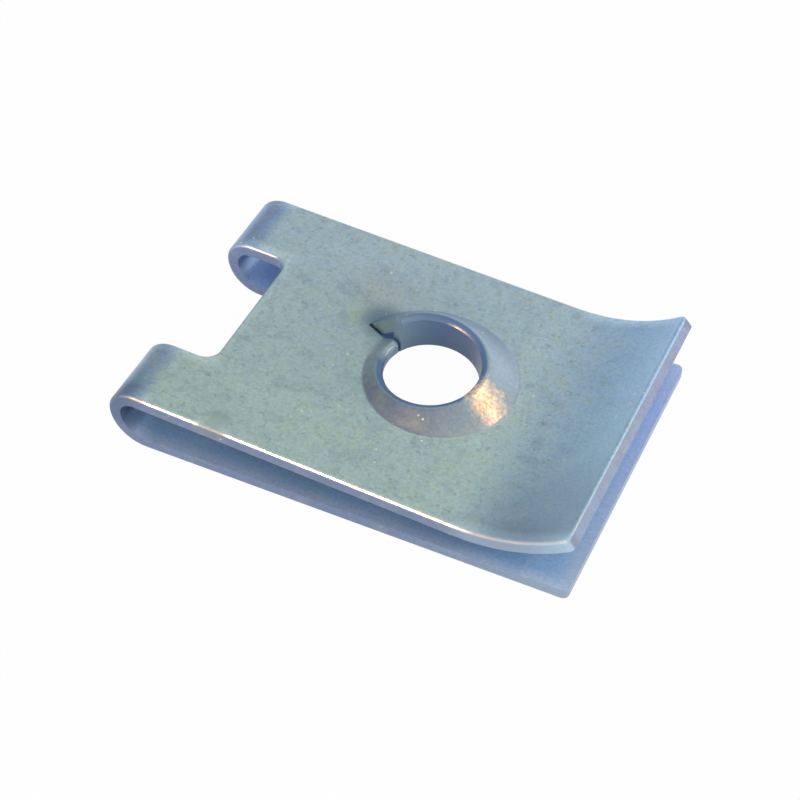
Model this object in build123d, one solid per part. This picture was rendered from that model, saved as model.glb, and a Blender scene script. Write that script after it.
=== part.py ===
from build123d import *
from math import atan2, cos, pi, radians, sin, tan
import os

# U-shaped spring-steel nut: one punched strip folded over so that its two leaves clip on
# a panel edge. The upper leaf carries a single-turn helical lip that works as the thread,
# the lower leaf has the clearance hole, and the free end of the upper leaf flares up.
# Frame: the origin is the middle of the clearance hole on the flat underside, X points to
# the open end, Y across the width and Z up. Until the last step the model keeps X = 0 on
# the fold's outside. Millimetres and degrees.

# Strip
sheet = 0.5
width = 12.0
lower_length = 17.95
corner_radius = 0.25
outer_edge_radius = 0.14

# Fold and upper leaf
fold_lower_radius = 0.95
fold_upper_radius = 0.55
leaf_slope = 3.2
leaf_straight = 12.5
flare_radius = 5.95
flare_tilt = 39.6

# Window through the fold
window_width = 5.95
window_depth = 2.7
window_corner_radius = 0.6

# Formed helical lip, angles counted from +X towards +Y seen from above. It rises as a cone
# to a rounded crest and turns down into a short collar that the screw engages. Its start
# is turned up a little.
hole_position = 10.12
bore_radius = 1.78
lip_pitch = 1.6
lip_start_height = 0.1
start_curl = 0.42
start_curl_spread = 0.3
start_curl_share = 0.2
foot_start_radius = 2.3
foot_end_radius = 3.45
foot_fillet = 0.2
foot_margin = 0.01
crest_radius = 0.22
collar_thickness = 0.42
collar_bevel = 0.36
bore_trim = 0.02
slit_angle = 156.0
slit_width = 0.12
half_lip_stations = 6

# Clearance hole of the lower leaf
clearance_radius = 3.8
clearance_bevel = 0.08


def skin_line(side):
    """One face of the folded strip in side view, from the lower leaf's end to the flare's
    end: side 1 is the outer face, side 0 the inner face."""
    grow = sheet * side
    height = sheet - grow
    fold_centre = sheet + fold_lower_radius
    lower = Line((lower_length, height), (fold_centre, height))
    turn_in = JernArc(lower @ 1, lower % 1, fold_lower_radius + grow, -90)
    turn_out = JernArc(turn_in @ 1, turn_in % 1, fold_upper_radius + grow, -90 - leaf_slope)
    leaf = PolarLine(turn_out @ 1, leaf_straight, direction=turn_out % 1)
    flare = JernArc(leaf @ 1, leaf % 1, flare_radius + sheet - grow, leaf_slope + flare_tilt)
    return [lower, turn_in, turn_out, leaf, flare]


def folded_strip():
    """The plain strip after folding, without holes."""
    outer = skin_line(1)
    inner = skin_line(0)
    lines = outer + inner
    lines.append(Line(outer[0] @ 0, inner[0] @ 0))
    lines.append(Line(outer[-1] @ 1, inner[-1] @ 1))
    face = make_face(Plane.XZ * Curve(lines))
    return extrude(face, amount=width / 2, both=True)


def round_corners(strip):
    """Rounds the four corners of the strip's two ends."""
    corners = []
    for edge in strip.edges():
        if abs(edge.length - sheet) < 1e-4 and abs(abs(edge.center().Y) - width / 2) < 1e-4:
            corners.append(edge)
    return fillet(corners, corner_radius)


def fold_window():
    """Cutter for the window, which starts outside the fold and ends on both leaves."""
    reach = window_depth + 2 * window_corner_radius
    tall = 4 * (sheet + fold_lower_radius + fold_upper_radius)
    plan = RectangleRounded(2 * reach, window_width, window_corner_radius)
    plan = Pos(window_depth - reach, 0) * plan
    return extrude(plan, amount=tall, both=True)


def soften_edges(strip):
    """Rounds the punched edges of the outer face. Those of the inner face stay sharp, as
    the punch leaves them."""
    def is_on(face, line):
        middle = face.position_at(0.5, 0.5)
        spot = Vector(middle.X, middle.Z)
        return min(part.distance_to(spot) for part in line) < 1e-3

    outer = skin_line(1)
    inner = skin_line(0)
    skin = [f for f in strip.faces() if is_on(f, outer)]
    walls = [f for f in strip.faces() if not is_on(f, outer) and not is_on(f, inner)]
    rims = [e for f in skin for e in f.edges() if any(e.is_same(w) for g in walls for w in g.edges())]
    return fillet(rims, outer_edge_radius)


def leaf_frame():
    """Frame on the upper leaf's outer face at the hole: Z is the hole's axis, X runs
    down the leaf towards the open end."""
    start = skin_line(1)[2] @ 1
    slope = radians(leaf_slope)
    drop = (hole_position - start.X) * tan(slope)
    spot = (hole_position, 0, start.Y - drop)
    return Plane(origin=spot, x_dir=(cos(slope), 0, -sin(slope)), z_dir=(sin(slope), 0, cos(slope)))


def cone_slope(foot, rise):
    """Slope of the cone that climbs by the rise between the foot and the bore's radius."""
    return atan2(rise, foot - bore_radius)


def lip_section(turn, reach):
    """Closed outline of the formed sheet in the radial plane at a part of the turn from 0
    to 1: flat ring, foot, cone, crest, collar and back along the underside."""
    angle = radians(slit_angle + 360 * turn)
    curl = max(0, 1 - turn / start_curl_share) ** 2
    foot = foot_start_radius + (foot_end_radius - foot_start_radius) * sin(radians(90 * turn))
    foot = foot + start_curl_spread * curl
    slope = cone_slope(foot, lip_start_height + lip_pitch * turn + start_curl * curl)
    foot_centre = foot + foot_fillet * tan(slope / 2)
    wall_radius = bore_radius - bore_trim
    crest_centre = wall_radius + crest_radius
    crest_level = (foot - crest_centre) * tan(slope) - crest_radius / cos(slope)
    collar_radius = bore_radius + collar_thickness

    def place(radius, height):
        return Vector(radius * cos(angle), radius * sin(angle), height)

    def foot_point(depth, share):
        arm = foot_fillet + depth
        return place(foot_centre - arm * sin(slope * share), foot_fillet - arm * cos(slope * share))

    def crest_point(share):
        lean = slope - share * (slope + pi / 2)
        return place(crest_centre + crest_radius * sin(lean), crest_level + crest_radius * cos(lean))

    bevel_top = place(wall_radius, collar_bevel + bore_trim - sheet)
    bevel_foot = place(bore_radius + collar_bevel, -sheet)
    collar_foot = place(collar_radius, -sheet)
    joint = place(collar_radius, (foot - collar_radius) * tan(slope) - sheet / cos(slope))
    outline = [
        Line(place(reach, 0), foot_point(0, 0)),
        ThreePointArc(foot_point(0, 0), foot_point(0, 0.5), foot_point(0, 1)),
        Line(foot_point(0, 1), crest_point(0)),
        ThreePointArc(crest_point(0), crest_point(0.5), crest_point(1)),
        Line(crest_point(1), bevel_top),
        Line(bevel_top, bevel_foot),
        Line(bevel_foot, collar_foot),
        Line(collar_foot, joint),
        Line(joint, foot_point(sheet, 1)),
        ThreePointArc(foot_point(sheet, 1), foot_point(sheet, 0.5), foot_point(sheet, 0)),
        Line(foot_point(sheet, 0), place(reach, -sheet)),
        Line(place(reach, -sheet), place(reach, 0)),
    ]
    return Wire(outline)


def slit_cutter():
    """The radial slit between the lip's low start and its high end."""
    tall = 4 * (sheet + lip_pitch)
    slit = Box(foot_end_radius, slit_width, tall, align=(Align.MIN, Align.CENTER, Align.CENTER))
    return Rot(0, 0, slit_angle) * slit


def formed_lip(patch_radius):
    """The helical lip with the flat ring around its foot, in two halves, slit and bored."""
    tall = 4 * (sheet + lip_pitch)
    ring = Cylinder(patch_radius, tall) - Cylinder(bore_radius, tall) - slit_cutter()
    halves = []
    for half_turn in (0, 1):
        turns = [(half_turn + step / half_lip_stations) / 2 for step in range(half_lip_stations + 1)]
        sections = [lip_section(turn, 1.1 * patch_radius) for turn in turns]
        halves.append(Solid.make_loft(sections) & ring)
    return halves


def add_lip(strip):
    """Sets the formed lip into the upper leaf."""
    slope = cone_slope(foot_end_radius, lip_start_height + lip_pitch)
    patch_radius = foot_end_radius + foot_fillet * tan(slope / 2) + foot_margin
    frame = leaf_frame().location
    strip = strip - frame * Cylinder(patch_radius, 2 * sheet + lip_start_height)
    for half in formed_lip(patch_radius):
        strip = strip + frame * half
    return strip


def add_clearance_hole(strip):
    """Cuts the round hole in the lower leaf, under the lip, and breaks its two edges."""
    strip = strip - Pos(hole_position, 0, 0) * Cylinder(clearance_radius, 2 * sheet + fold_lower_radius)
    rims = []
    for edge in strip.edges().filter_by(GeomType.CIRCLE):
        if abs(edge.radius - clearance_radius) < 1e-4 and edge.center().Z < 1.5 * sheet:
            rims.append(edge)
    return chamfer(rims, clearance_bevel)


strip = folded_strip()
strip = round_corners(strip)
strip = strip - fold_window()
strip = soften_edges(strip)
strip = add_lip(strip)
strip = add_clearance_hole(strip)
strip = Pos(-hole_position, 0, 0) * strip
os.makedirs("parts", exist_ok=True)
export_step(strip, "parts/u_clip.step")
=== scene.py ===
import math

import bmesh
import bpy
from mathutils import Matrix, Vector


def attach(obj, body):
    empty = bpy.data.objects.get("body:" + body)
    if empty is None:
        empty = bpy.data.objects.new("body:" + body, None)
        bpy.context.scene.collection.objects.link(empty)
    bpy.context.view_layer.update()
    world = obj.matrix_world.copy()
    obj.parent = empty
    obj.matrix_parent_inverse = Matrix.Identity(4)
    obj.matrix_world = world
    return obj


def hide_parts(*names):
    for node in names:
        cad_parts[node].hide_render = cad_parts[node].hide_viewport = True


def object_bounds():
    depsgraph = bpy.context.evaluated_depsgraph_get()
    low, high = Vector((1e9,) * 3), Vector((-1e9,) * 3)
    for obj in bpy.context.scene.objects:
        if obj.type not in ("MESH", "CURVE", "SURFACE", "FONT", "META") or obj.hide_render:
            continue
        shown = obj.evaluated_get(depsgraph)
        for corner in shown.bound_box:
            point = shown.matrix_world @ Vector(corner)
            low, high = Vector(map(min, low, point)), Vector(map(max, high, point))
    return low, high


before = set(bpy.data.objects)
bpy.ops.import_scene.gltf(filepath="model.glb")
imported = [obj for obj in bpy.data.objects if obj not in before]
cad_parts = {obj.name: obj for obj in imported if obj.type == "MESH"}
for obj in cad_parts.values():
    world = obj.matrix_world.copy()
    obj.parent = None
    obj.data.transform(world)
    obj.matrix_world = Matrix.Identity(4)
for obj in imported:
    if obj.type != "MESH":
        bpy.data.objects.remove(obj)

cad_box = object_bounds()

# The clip: one strip of spring steel, punched, formed and folded in a press tool.
# Its flat faces run into the formed radii without a line, while the sheared edges stay
# sharp, so the CAD surface is merged and shaded smooth up to a crease angle.
CREASE = math.radians(28)
MERGE_DISTANCE = 0.0000005

clip = bpy.data.objects.new("clip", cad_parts["u_clip"].data.copy())
bpy.context.scene.collection.objects.link(clip)
skin = bmesh.new()
skin.from_mesh(clip.data)
bmesh.ops.remove_doubles(skin, verts=skin.verts, dist=MERGE_DISTANCE)
for face in skin.faces:
    face.smooth = True
for edge in skin.edges:
    edge.smooth = len(edge.link_faces) == 2 and edge.calc_face_angle() < CREASE
skin.to_mesh(clip.data)
skin.free()
even_shading = clip.modifiers.new("even_shading", "WEIGHTED_NORMAL")
even_shading.keep_sharp = True
even_shading.weight = 50

# The finish: bright zinc electroplate with a clear blue passivation film. The steel under
# it is cold rolled and tumbled, which leaves a satin, finely speckled surface. The film is
# greenish grey on the open faces. Over it the colour carries painted light and shade:
# upright faces darker and bluer, tints of their own on the fold, the flare and the lower leaf,
# darker on the lip's crest, wall and slit end, and painted highlights on the cone and in
# bright dots.
MILLIMETRE = 0.001
SLIT_ANGLE = math.radians(156)

# Zones of the clip: what each is measured by, where it starts, where it is full and how
# strong it is. Lengths are in mm. Tilt runs from 0, upright, to 1, level, and lean from 0 to
# 1 towards the open end. Past_slit and reach run across and along the lip's slit.
ZONES = {
    "upper_leaf": ("z", 0.6, 1.1, 1.0),
    "lower_leaf": ("z", 1.1, 0.6, 1.0),
    "facing": ("tilt", 0.15, 0.45, 1.0),
    "not_facing": ("tilt", 0.45, 0.15, 1.0),
    "facing_up": ("tilt", 0.5, 0.9, 1.0),
    "sloping": ("tilt", 0.985, 0.92, 1.0),
    "upright": ("tilt", 0.5, 0.1, 0.8),
    "leaning": ("lean", 0.5, 0.7, 1.0),
    "lip": ("radius", 3.75, 3.55, 1.0),
    "lip_lit_side": ("x", 0.3, 2.3, 0.9),
    "lip_shade_side": ("x", 2.6, 1.0, 1.0),
    "lip_near_side": ("y", 1.5, -1.5, 0.95),
    "past_lip": ("x", 4.999, 5.001, 1.0),
    "behind_slit": ("past_slit", -0.101, -0.099, 1.0),
    "before_slit": ("past_slit", -0.6, -1.1, 1.0),
    "across_lip": ("reach", 0.001, -0.001, 1.0),
    "near": ("y", 5.0, -4.0, 1.0),
    "rim_side": ("side", 5.45, 5.85, 1.0),
    "rim_end": ("x", 7.1, 7.6, 1.0),
    "lower_open_end": ("x", 1.0, 7.0, 0.5),
    "flare_end": ("x", 3.3, 4.3, 1.0),
    "fold_end": ("x", -8.35, -8.7, 1.0),
    "window_side": ("side", 3.5, 3.2, 0.85),
    "window_end": ("x", -7.0, -7.5, 1.0),
}
SOFT_ZONES = {
    "bend": ("x", -8.45, -9.05, 1.0),
    "flare": ("x", 2.8, 6.2, 1.0),
    "crest": ("radius", 2.14, 1.96, 1.0),
    # Where the painted shade at the slit's end lies.
    "slit_shade_length": ("past_slit", 1.7, 0.2, 0.75),
    "slit_shade_foot": ("reach", 4.0, 2.9, 1.0),
    "slit_shade_wall": ("reach", -0.6, 0.8, 1.0),
}

# Zones made of two others: where both meet, or where either is.
JOINED_ZONES = (
    ("rim", "MAXIMUM", "rim_side", "rim_end"),
    ("inner_face", "MULTIPLY", "lower_leaf", "facing_up"),
    ("lower_edge", "MULTIPLY", "lower_leaf", "not_facing"),
    ("lower_edge", "MULTIPLY", "lower_edge", "lower_open_end"),
    ("full_turn", "MAXIMUM", "before_slit", "behind_slit"),
    ("full_turn", "MAXIMUM", "full_turn", "across_lip"),
    ("crest", "MULTIPLY", "crest", "full_turn"),
    ("dull_crest", "MULTIPLY", "crest", "upper_leaf"),
    ("dull_ends", "MAXIMUM", "flare_end", "fold_end"),
    ("dull_ends", "MULTIPLY", "dull_ends", "rim_side"),
    ("dull_window", "MULTIPLY", "window_end", "window_side"),
    ("worn_flare", "MULTIPLY", "flare_end", "rim_side"),
    ("worn_flare", "MULTIPLY", "worn_flare", "upper_leaf"),
)

# The film's colour by tilt: greenish grey when level, darker and bluer as a face turns
# upright, which is painted shade. Then painted light and shade on the upper leaf, where the
# press has bent, flared and formed it, and a darker tint on its sheared end face. The painted
# shade on the crest, the bore's wall and the slit's end lies over the marks.
FILM_AND_SHADE_BY_TILT = (
    (0.0, "#6C80B0"),
    (0.40, "#7F98C6"),
    (0.66, "#88A2CA"),
    (0.86, "#90A8C8"),
    (0.97, "#B2D1E2"),
)
FORMED_FILMS_AND_PAINTED_LIGHT = (
    # Painted light and shade: the fold's bend and the flare get tints of their own.
    (("bend", "facing"), "#8AAAD6"),
    (("flare",), "#A8D2FC"),
    # Painted shade on the lip's near-left slope, painted light on its slope towards the open end, painted
    # shade on its upright and under faces.
    (("lip_shade_side", "lip_near_side", "lip", "sloping"), "#6E7C9A"),
    (("lip_lit_side", "lip", "sloping"), "#8C9FB6"),
    (("lip", "not_facing"), "#5E7490"),
    # A darker, greyer tint on the flare's sheared end face.
    (("leaning", "past_lip"), "#8089A8"),
)
PAINTED_SHADE_FILMS = (
    # Painted shade on the lip's crest, the bore's wall and the slit's end.
    (("crest",), "#52719A"),
    (("crest", "upright"), "#3C5A80"),
    (("slit_shade_length", "behind_slit", "slit_shade_foot", "slit_shade_wall"), "#66869C"),
)

# The lower leaf's upper face is a pale blue, paler still at its rim and open end, and its
# sides turn paler towards the open end: painted light, where light from the front reaches
# into the gap and past the flare.
LOWER_INNER_FILM = "#9CC4FC"
LIT_RIM_FILM = "#B4CAF8"
LIT_LOWER_SIDE_FILM = "#AEC4E6"
NEAR_TONE = "#FFFFEE"

# Marks in the film: size in mm, the noise where a mark starts and is full, share and colour.
# They are fainter where the sheet is formed.
MARKS = (
    (0.80, 0.52, 0.70, 0.25, "#A9BFB0"),
    (0.85, 0.46, 0.30, 0.30, "#7690A6"),
    (0.33, 0.50, 0.70, 0.35, "#B6CAA8"),
    (0.28, 0.48, 0.30, 0.35, "#7E9BB2"),
    (0.15, 0.58, 0.72, 0.35, "#CBD6AE"),
    (0.19, 0.42, 0.28, 0.35, "#51688A"),
)
OPEN_FACE = (0.88, 0.99)
MARKS_OFF_OPEN_FACE = 0.25

# Stains and painted shade on the upper leaf: centre, radius and share, then the colour.
STAINS_AND_PAINTED_SHADE = (
    # A broad faint grey tone between the lip and the fold.
    ((-2.5, 1.0, 0.0), 5.0, 0.16, "#86A0A8"),
    # A pink stain and a yellow-green one.
    ((-3.5, 3.2, 0.0), 1.8, 0.14, "#C09C90"),
    ((-3.7, 1.7, 0.0), 0.9, 0.25, "#B4C88C"),
    # Painted shade at the outer end of the lip's slit.
    ((-2.8, 1.75, 0.0), 1.25, 0.85, "#66869C"),
    # A dark smudge by the scuff on the front edge.
    ((-5.85, -5.6, 0.0), 0.8, 0.55, "#6C8890"),
    # Darker over the near side of the flare.
    ((6.3, -4.6, 0.0), 3.6, 0.40, "#8098BC"),
    # Painted shade on the fold's near edge.
    ((-9.7, -6.0, 0.0), 1.3, 0.80, "#54688A"),
    # Darker along the flare's near edge.
    ((5.6, -6.6, 0.0), 2.4, 0.55, "#6A7E9C"),
)
STAIN_AND_SHADE_CORE = 0.2

# The grain that tumbling leaves and the rolling grain are finer on real sheet. They are
# drawn this coarse so that they show.
GRAIN_SIZE = 0.12
GRAIN_RANGE = (0.25, 0.75)
GRAIN_TONE = (0.86, 1.13)
MOTTLE_SIZE = 0.8
MOTTLE_RANGE = (0.3, 0.7)
MOTTLE_HEIGHT = 2.0
ROLLING_GRAIN_WIDTH = 0.07
ROLLING_GRAIN_LENGTH = 1.6
ROLLING_GRAIN_HEIGHT = 0.35
RELIEF_DEPTH = 0.006

# Painted glints: bright dots in loose groups, where the grain's tips catch the light.
DOT_SPACING = 0.62
DOT_RADIUS = (0.085, 0.035)
DOT_GROUP_SIZE = 2.0
DOT_GROUP_EDGE = (0.50, 0.56)
GLINT_COLOUR = "#FFFFDC"

# A painted highlight on the cone's slope towards the open end: warm, with a bright speckled
# core and a ragged edge.
HIGHLIGHT_SPOT = (2.3, -0.5, 0.0)
HIGHLIGHT_RADIUS = (0.85, 0.25)
RAGGED_BITES_PER_MM = 3.0
RAGGED_RANGE = (0.3, 0.7)
RAGGED_DEPTH = 0.30
HIGHLIGHT_SPECKLE = (0.35, 0.62)
HIGHLIGHT_WARM = "#D9A987"
HIGHLIGHT_CORE = "#F4ECD8"

# The satin: zinc is a metal, but its film is not, so it is part metallic. It is dull on the
# drawn crest, at the window, at both ends of the long edges and at a scuff on the front one.
SATIN = (0.30, 0.42)
METALLIC = 0.6
DULL_METALLIC = 0.05
COVERED_METALLIC_SHARE = 0.4
SCUFF = (-5.85, -5.95, 2.3)
SCUFF_RADIUS = (0.75, 0.45)
EXTRA_ROUGHNESS = 0.25


def linear(hex_colour):
    """An sRGB hex value as a linear RGBA colour."""
    channels = [int(hex_colour[i:i + 2], 16) / 255 for i in (1, 3, 5)]
    return tuple(c / 12.92 if c <= 0.04045 else ((c + 0.055) / 1.055) ** 2.4 for c in channels) + (1.0,)


def add_node(tree, kind, inputs=None, **settings):
    """Adds a node with its settings. Inputs maps a socket's name or number to a value or
    to the output socket that feeds it."""
    node = tree.nodes.new(kind)
    for name, value in settings.items():
        setattr(node, name, value)
    for key, value in (inputs or {}).items():
        if isinstance(value, bpy.types.NodeSocket):
            tree.links.new(value, node.inputs[key])
        else:
            node.inputs[key].default_value = value
    return node


def clip_measures(tree):
    """What the finish is placed by: the place on the clip in mm, the way its surface turns,
    and the distances from the middle line, the lip's axis and its slit."""
    place = add_node(tree, "ShaderNodeTexCoord")
    scale = (1 / MILLIMETRE, 1 / MILLIMETRE, 1 / MILLIMETRE)
    mm = add_node(tree, "ShaderNodeMapping", {0: place.outputs["Object"], "Scale": scale}).outputs[0]
    x, y, z = add_node(tree, "ShaderNodeSeparateXYZ", {0: mm}).outputs
    normal = add_node(tree, "ShaderNodeSeparateXYZ", {0: place.outputs["Normal"]}).outputs
    flatten = {0: mm, 1: (1.0, 1.0, 0.0)}
    plan = add_node(tree, "ShaderNodeVectorMath", flatten, operation="MULTIPLY").outputs[0]
    radius = add_node(tree, "ShaderNodeVectorMath", {0: plan}, operation="LENGTH").outputs["Value"]
    side = add_node(tree, "ShaderNodeMath", {0: y}, operation="ABSOLUTE").outputs[0]
    measure = {"mm": mm, "plan": plan, "x": x, "y": y, "z": z, "side": side, "radius": radius}
    measure["lean"] = normal["X"]
    measure["tilt"] = normal["Z"]
    across_slit = (math.sin(SLIT_ANGLE), -math.cos(SLIT_ANGLE), 0.0)
    along_slit = (math.cos(SLIT_ANGLE), math.sin(SLIT_ANGLE), 0.0)
    for name, direction in (("past_slit", across_slit), ("reach", along_slit)):
        dot = add_node(tree, "ShaderNodeVectorMath", {0: mm, 1: direction}, operation="DOT_PRODUCT")
        measure[name] = dot.outputs["Value"]
    return measure


def clip_zones(tree, measure):
    """The clip's zones, each from 0 outside to its full strength inside."""
    zones = {}
    for table, blend in ((ZONES, "LINEAR"), (SOFT_ZONES, "SMOOTHSTEP")):
        for name, (source, start, full, strength) in table.items():
            limits = {0: measure[source], 1: start, 2: full, 4: strength}
            zone = add_node(tree, "ShaderNodeMapRange", limits, interpolation_type=blend)
            zones[name] = zone.outputs[0]
    for name, operation, first, second in JOINED_ZONES:
        pair = {0: zones[first], 1: zones[second]}
        zones[name] = add_node(tree, "ShaderNodeMath", pair, operation=operation).outputs[0]
    return zones


def lay_tints(tree, colour, zones, films):
    """Lays tints over the colour on the upper leaf, each where all its zones meet."""
    for names, tint in films:
        share = zones["upper_leaf"]
        for name in names:
            pair = {0: share, 1: zones[name]}
            share = add_node(tree, "ShaderNodeMath", pair, operation="MULTIPLY").outputs[0]
        coats = {0: share, 6: colour, 7: linear(tint)}
        colour = add_node(tree, "ShaderNodeMix", coats, data_type="RGBA").outputs[2]
    return colour


def film_and_painted_light(tree, measure, zones, grain):
    """The film's colour with its painted light and shade, its marks, grain and stains."""
    level = {0: measure["tilt"], 1: zones["upper_leaf"]}
    flatness = add_node(tree, "ShaderNodeMath", level, operation="MULTIPLY").outputs[0]
    film = add_node(tree, "ShaderNodeValToRGB", {0: flatness})
    ramp = film.color_ramp
    ramp.elements[0].position = FILM_AND_SHADE_BY_TILT[0][0]
    ramp.elements[1].position = FILM_AND_SHADE_BY_TILT[-1][0]
    for stop, tint in FILM_AND_SHADE_BY_TILT[1:-1]:
        ramp.elements.new(stop)
    for element, (stop, tint) in zip(ramp.elements, FILM_AND_SHADE_BY_TILT):
        element.color = linear(tint)
    colour = lay_tints(tree, film.outputs[0], zones, FORMED_FILMS_AND_PAINTED_LIGHT)

    lower_inner_tints = {0: zones["rim"], 6: linear(LOWER_INNER_FILM), 7: linear(LIT_RIM_FILM)}
    inner = add_node(tree, "ShaderNodeMix", lower_inner_tints, data_type="RGBA").outputs[2]
    for name, tint in (("inner_face", inner), ("lower_edge", linear(LIT_LOWER_SIDE_FILM))):
        coats = {0: zones[name], 6: colour, 7: tint}
        colour = add_node(tree, "ShaderNodeMix", coats, data_type="RGBA").outputs[2]
    tint = {0: zones["near"], 6: colour, 7: linear(NEAR_TONE)}
    colour = add_node(tree, "ShaderNodeMix", tint, data_type="RGBA", blend_type="MULTIPLY").outputs[2]

    limits = {0: flatness, 1: OPEN_FACE[0], 2: OPEN_FACE[1], 3: MARKS_OFF_OPEN_FACE, 4: 1.0}
    open_face = add_node(tree, "ShaderNodeMapRange", limits).outputs[0]
    for size, start, full, most, tint in MARKS:
        noise = {"Vector": measure["mm"], "Scale": 1 / size, "Detail": 3.0, "Roughness": 0.65}
        pattern = add_node(tree, "ShaderNodeTexNoise", noise).outputs["Fac"]
        share = add_node(tree, "ShaderNodeMapRange", {0: pattern, 1: start, 2: full, 4: most}).outputs[0]
        share = add_node(tree, "ShaderNodeMath", {0: share, 1: open_face}, operation="MULTIPLY").outputs[0]
        coats = {0: share, 6: colour, 7: linear(tint)}
        colour = add_node(tree, "ShaderNodeMix", coats, data_type="RGBA").outputs[2]

    limits = {0: grain, 1: GRAIN_RANGE[0], 2: GRAIN_RANGE[1], 3: GRAIN_TONE[0], 4: GRAIN_TONE[1]}
    tone = add_node(tree, "ShaderNodeMapRange", limits).outputs[0]
    tone = add_node(tree, "ShaderNodeCombineColor", {0: tone, 1: tone, 2: tone}).outputs[0]
    tint = {0: 1.0, 6: colour, 7: tone}
    colour = add_node(tree, "ShaderNodeMix", tint, data_type="RGBA", blend_type="MULTIPLY").outputs[2]

    for centre, size, most, tint in STAINS_AND_PAINTED_SHADE:
        pair = {0: measure["plan"], 1: centre}
        away = add_node(tree, "ShaderNodeVectorMath", pair, operation="DISTANCE").outputs["Value"]
        limits = {0: away, 1: size, 2: STAIN_AND_SHADE_CORE * size, 4: most}
        share = add_node(tree, "ShaderNodeMapRange", limits, interpolation_type="SMOOTHSTEP").outputs[0]
        pair = {0: share, 1: zones["upper_leaf"]}
        share = add_node(tree, "ShaderNodeMath", pair, operation="MULTIPLY").outputs[0]
        coats = {0: share, 6: colour, 7: linear(tint)}
        colour = add_node(tree, "ShaderNodeMix", coats, data_type="RGBA").outputs[2]
    return lay_tints(tree, colour, zones, PAINTED_SHADE_FILMS)


def painted_highlights(tree, colour, measure, grain):
    """The painted glints and the painted highlight on the cone, over the film's colour."""
    spots = {"Vector": measure["mm"], "Scale": 1 / DOT_SPACING}
    cells = add_node(tree, "ShaderNodeTexVoronoi", spots).outputs["Distance"]
    limits = {0: cells, 1: DOT_RADIUS[0], 2: DOT_RADIUS[1]}
    dots = add_node(tree, "ShaderNodeMapRange", limits).outputs[0]
    patches = {"Vector": measure["mm"], "Scale": 1 / DOT_GROUP_SIZE}
    groups = add_node(tree, "ShaderNodeTexNoise", patches).outputs["Fac"]
    limits = {0: groups, 1: DOT_GROUP_EDGE[0], 2: DOT_GROUP_EDGE[1]}
    groups = add_node(tree, "ShaderNodeMapRange", limits).outputs[0]
    dots = add_node(tree, "ShaderNodeMath", {0: dots, 1: groups}, operation="MULTIPLY").outputs[0]
    coats = {0: dots, 6: colour, 7: linear(GLINT_COLOUR)}
    colour = add_node(tree, "ShaderNodeMix", coats, data_type="RGBA").outputs[2]

    noise = {"Vector": measure["mm"], "Scale": RAGGED_BITES_PER_MM, "Detail": 4.0, "Roughness": 0.7}
    ragged = add_node(tree, "ShaderNodeTexNoise", noise).outputs["Fac"]
    limits = {0: ragged, 1: RAGGED_RANGE[0], 2: RAGGED_RANGE[1], 3: -RAGGED_DEPTH, 4: RAGGED_DEPTH}
    ragged = add_node(tree, "ShaderNodeMapRange", limits).outputs[0]
    pair = {0: measure["plan"], 1: HIGHLIGHT_SPOT}
    away = add_node(tree, "ShaderNodeVectorMath", pair, operation="DISTANCE").outputs["Value"]
    away = add_node(tree, "ShaderNodeMath", {0: away, 1: ragged}, operation="ADD").outputs[0]
    limits = {0: away, 1: HIGHLIGHT_RADIUS[0], 2: HIGHLIGHT_RADIUS[1]}
    highlight_share = add_node(tree, "ShaderNodeMapRange", limits).outputs[0]
    limits = {0: grain, 1: HIGHLIGHT_SPECKLE[0], 2: HIGHLIGHT_SPECKLE[1]}
    speckle = add_node(tree, "ShaderNodeMapRange", limits).outputs[0]
    highlight_tints = {0: speckle, 6: linear(HIGHLIGHT_WARM), 7: linear(HIGHLIGHT_CORE)}
    bright = add_node(tree, "ShaderNodeMix", highlight_tints, data_type="RGBA").outputs[2]
    coats = {0: highlight_share, 6: colour, 7: bright}
    return add_node(tree, "ShaderNodeMix", coats, data_type="RGBA").outputs[2]


def gloss(tree, measure, zones, mottle):
    """The roughness and the metallic share of the satin surface."""
    limits = {0: mottle, 1: MOTTLE_RANGE[0], 2: MOTTLE_RANGE[1], 3: SATIN[0], 4: SATIN[1]}
    satin = add_node(tree, "ShaderNodeMapRange", limits).outputs[0]
    pair = {0: measure["mm"], 1: SCUFF}
    scuff = add_node(tree, "ShaderNodeVectorMath", pair, operation="DISTANCE").outputs["Value"]
    limits = {0: scuff, 1: SCUFF_RADIUS[0], 2: SCUFF_RADIUS[1]}
    scuff = add_node(tree, "ShaderNodeMapRange", limits).outputs[0]
    for worn in (scuff, zones["worn_flare"]):
        rougher = {0: worn, 1: EXTRA_ROUGHNESS, 2: satin}
        satin = add_node(tree, "ShaderNodeMath", rougher, operation="MULTIPLY_ADD").outputs[0]

    dull = zones["dull_crest"]
    for zone in (scuff, zones["dull_ends"], zones["dull_window"]):
        dull = add_node(tree, "ShaderNodeMath", {0: dull, 1: zone}, operation="MAXIMUM").outputs[0]
    metal = add_node(tree, "ShaderNodeMapRange", {0: dull, 3: METALLIC, 4: DULL_METALLIC}).outputs[0]
    limits = {0: zones["inner_face"], 3: 1.0, 4: COVERED_METALLIC_SHARE}
    stained = add_node(tree, "ShaderNodeMapRange", limits).outputs[0]
    metal = add_node(tree, "ShaderNodeMath", {0: metal, 1: stained}, operation="MULTIPLY").outputs[0]
    return satin, metal


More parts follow.
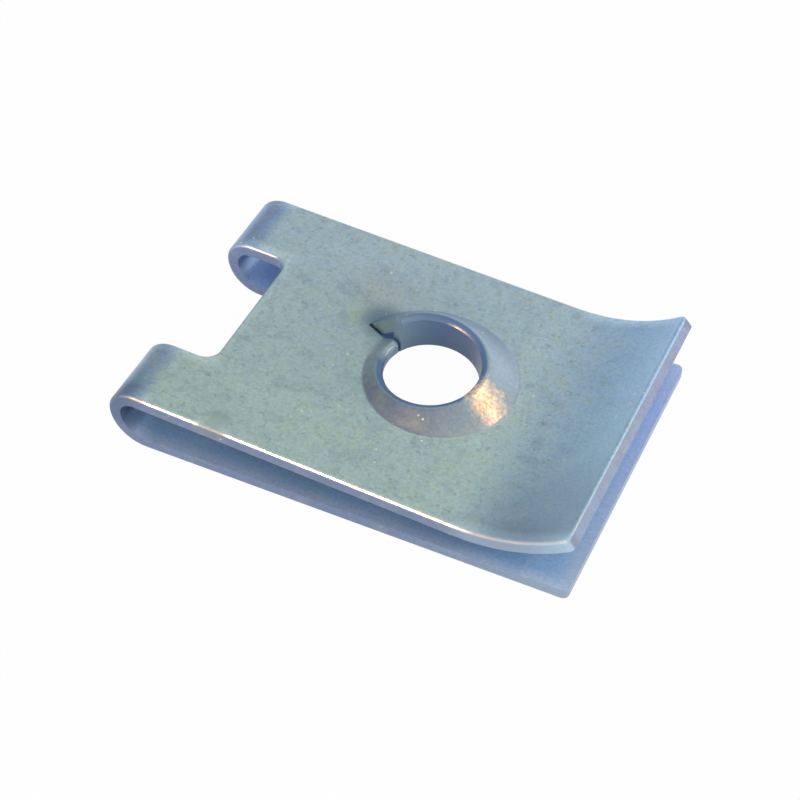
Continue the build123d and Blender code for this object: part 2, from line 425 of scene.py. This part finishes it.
def zinc_plated_spring_steel():
    """The clip's one material: the film's colour with painted light and shade, its gloss and its fine
    relief.
    """
    material = bpy.data.materials.new("zinc_plated_spring_steel")
    material.use_nodes = True
    tree = material.node_tree
    shader = tree.nodes["Principled BSDF"]
    measure = clip_measures(tree)
    zones = clip_zones(tree, measure)
    mm = measure["mm"]
    noise = {"Vector": mm, "Scale": 1 / GRAIN_SIZE, "Detail": 3.0, "Roughness": 0.6}
    grain = add_node(tree, "ShaderNodeTexNoise", noise).outputs["Fac"]
    noise = {"Vector": mm, "Scale": 1 / MOTTLE_SIZE, "Detail": 4.0}
    mottle = add_node(tree, "ShaderNodeTexNoise", noise).outputs["Fac"]

    colour = film_and_painted_light(tree, measure, zones, grain)
    tree.links.new(painted_highlights(tree, colour, measure, grain), shader.inputs["Base Color"])
    satin, metal = gloss(tree, measure, zones, mottle)
    tree.links.new(satin, shader.inputs["Roughness"])
    tree.links.new(metal, shader.inputs["Metallic"])

    stretch = (1 / ROLLING_GRAIN_LENGTH, 1 / ROLLING_GRAIN_WIDTH, 1 / ROLLING_GRAIN_WIDTH)
    along = add_node(tree, "ShaderNodeMapping", {0: mm, "Scale": stretch}).outputs[0]
    rolled = add_node(tree, "ShaderNodeTexNoise", {"Vector": along, "Scale": 1.0}).outputs["Fac"]
    relief = grain
    for pattern, height in ((rolled, ROLLING_GRAIN_HEIGHT), (mottle, MOTTLE_HEIGHT)):
        raised = {0: pattern, 1: height, 2: relief}
        relief = add_node(tree, "ShaderNodeMath", raised, operation="MULTIPLY_ADD").outputs[0]
    depth = RELIEF_DEPTH * MILLIMETRE
    bump = add_node(tree, "ShaderNodeBump", {"Strength": 1.0, "Distance": depth, "Height": relief})
    tree.links.new(bump.outputs[0], shader.inputs["Normal"])
    return material


clip.data.materials.clear()
clip.data.materials.append(zinc_plated_spring_steel())
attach(clip, "root")
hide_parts("u_clip")

# The floor: a plain sheet of white board under the clip. The camera sees it nearly as
# white as the background, and it keeps a trace of the clip's soft shadow.
FLOOR_SIZE = 1.2
FLOOR_DROP = 0.00001
FLOOR_WHITE = "#D6DCE4"
FLOOR_ROUGHNESS = 0.9
FLOOR_GLOW = 0.98

floor_mesh = bmesh.new()
bmesh.ops.create_grid(floor_mesh, x_segments=1, y_segments=1, size=FLOOR_SIZE / 2)
floor = bpy.data.objects.new("floor", bpy.data.meshes.new("floor"))
floor_mesh.to_mesh(floor.data)
floor_mesh.free()
floor.location.z = cad_box[0][2] - FLOOR_DROP
bpy.context.scene.collection.objects.link(floor)

board = bpy.data.materials.new("white_board")
board.use_nodes = True
tree = board.node_tree
matt = tree.nodes["Principled BSDF"]
matt.inputs["Base Color"].default_value = linear(FLOOR_WHITE)
matt.inputs["Roughness"].default_value = FLOOR_ROUGHNESS
matt.inputs["Specular IOR Level"].default_value = 0.0
glow = add_node(tree, "ShaderNodeEmission", {"Color": (1.0, 1.0, 1.0, 1.0), "Strength": 1.0})
rays = add_node(tree, "ShaderNodeLightPath").outputs
seen = rays["Is Camera Ray"]
for ray in ("Is Glossy Ray", "Is Transmission Ray"):
    seen = add_node(tree, "ShaderNodeMath", {0: seen, 1: rays[ray]}, operation="MAXIMUM").outputs[0]
seen = add_node(tree, "ShaderNodeMath", {0: seen, 1: FLOOR_GLOW}, operation="MULTIPLY").outputs[0]
blend = add_node(tree, "ShaderNodeMixShader", {0: seen, 1: matt.outputs[0], 2: glow.outputs[0]})
tree.links.new(blend.outputs[0], tree.nodes["Material Output"].inputs["Surface"])
floor.data.materials.append(board)

# The light: a white studio, brightest low all round and dark behind the fold, with three
# lamps. A long warm one low in front shows only as a reflection on the rolled front edge,
# a small one catches the cone, and a faint panel stands behind the open end.
TENT_HEIGHT = (0.0, 0.6)
TENT_STRENGTH = (1.9, 0.8)
DARK_SIDE = (-0.80, 0.58, 0.15)
DARK_SIDE_EDGE = (0.3, 1.0)
DARK_SIDE_SHARE = 0.25
LAMP_DISTANCE = 0.25

world = bpy.data.worlds.new("studio")
bpy.context.scene.world = world
world.use_nodes = True
tree = world.node_tree
direction = add_node(tree, "ShaderNodeTexCoord").outputs["Generated"]
height = add_node(tree, "ShaderNodeSeparateXYZ", {0: direction}).outputs["Z"]
limits = {0: height, 1: TENT_HEIGHT[0], 2: TENT_HEIGHT[1], 3: TENT_STRENGTH[0], 4: TENT_STRENGTH[1]}
tent = add_node(tree, "ShaderNodeMapRange", limits, interpolation_type="SMOOTHSTEP").outputs[0]
pair = {0: direction, 1: DARK_SIDE}
side = add_node(tree, "ShaderNodeVectorMath", pair, operation="DOT_PRODUCT").outputs["Value"]
limits = {0: side, 1: DARK_SIDE_EDGE[0], 2: DARK_SIDE_EDGE[1], 3: 1.0, 4: DARK_SIDE_SHARE}
shade = add_node(tree, "ShaderNodeMapRange", limits).outputs[0]
tone = add_node(tree, "ShaderNodeMath", {0: tent, 1: shade}, operation="MULTIPLY").outputs[0]
to_camera = add_node(tree, "ShaderNodeLightPath").outputs["Is Camera Ray"]
level = add_node(tree, "ShaderNodeMath", {0: tone, 1: to_camera}, operation="MAXIMUM").outputs[0]
tree.links.new(level, tree.nodes["Background"].inputs["Strength"])
tree.nodes["Background"].inputs["Color"].default_value = (1.0, 1.0, 1.0, 1.0)


def area_lamp(name, direction, size, power, colour):
    """An area lamp that looks at the origin from a direction."""
    lamp = bpy.data.objects.new(name, bpy.data.lights.new(name, "AREA"))
    lamp.data.shape = "RECTANGLE"
    lamp.data.size, lamp.data.size_y = size
    lamp.data.energy = power
    lamp.data.color = linear(colour)[:3]
    lamp.location = Vector(direction).normalized() * LAMP_DISTANCE
    lamp.rotation_euler = lamp.location.to_track_quat("Z", "Y").to_euler()
    bpy.context.scene.collection.objects.link(lamp)
    return lamp


edge_lamp = area_lamp("edge_lamp", (-0.285, -0.85, 0.27), (0.03, 0.20), 3.4, "#FFBE70")
edge_lamp.visible_diffuse = False
area_lamp("cone_lamp", (0.60, 0.37, 0.70), (0.008, 0.008), 0.10, "#FFC890")
area_lamp("end_panel", (0.77, 0.60, 0.16), (0.16, 0.06), 0.02, "#FFF8F4")

# The camera: it looks down on the clip from the front, a little to the right, from a
# hand's breadth away, and is rolled by the photograph's slight tilt.
CAMERA_AZIMUTH = math.radians(24.306)
CAMERA_ELEVATION = math.radians(46.125)
CAMERA_ROLL = math.radians(0.882)
CAMERA_DISTANCE = 0.072113
CAMERA_TARGET = Vector((-0.001334, 0.000211, 0.0))
CAMERA_LENS = 86.53
CAMERA_SENSOR = 36.0
CAMERA_NEAREST = 0.001

camera = bpy.data.objects.new("camera", bpy.data.cameras.new("camera"))
camera.data.lens = CAMERA_LENS
camera.data.sensor_width = CAMERA_SENSOR
camera.data.clip_start = CAMERA_NEAREST
turn = Matrix.Rotation(CAMERA_AZIMUTH, 4, "Z")
tilt = Matrix.Rotation(math.pi / 2 - CAMERA_ELEVATION, 4, "X")
roll = Matrix.Rotation(CAMERA_ROLL, 4, "Z")
step_back = Matrix.Translation((0.0, 0.0, CAMERA_DISTANCE))
camera.matrix_world = Matrix.Translation(CAMERA_TARGET) @ turn @ tilt @ step_back @ roll
bpy.context.scene.collection.objects.link(camera)
bpy.context.scene.camera = camera

bpy.context.scene.view_settings.view_transform = "Standard"
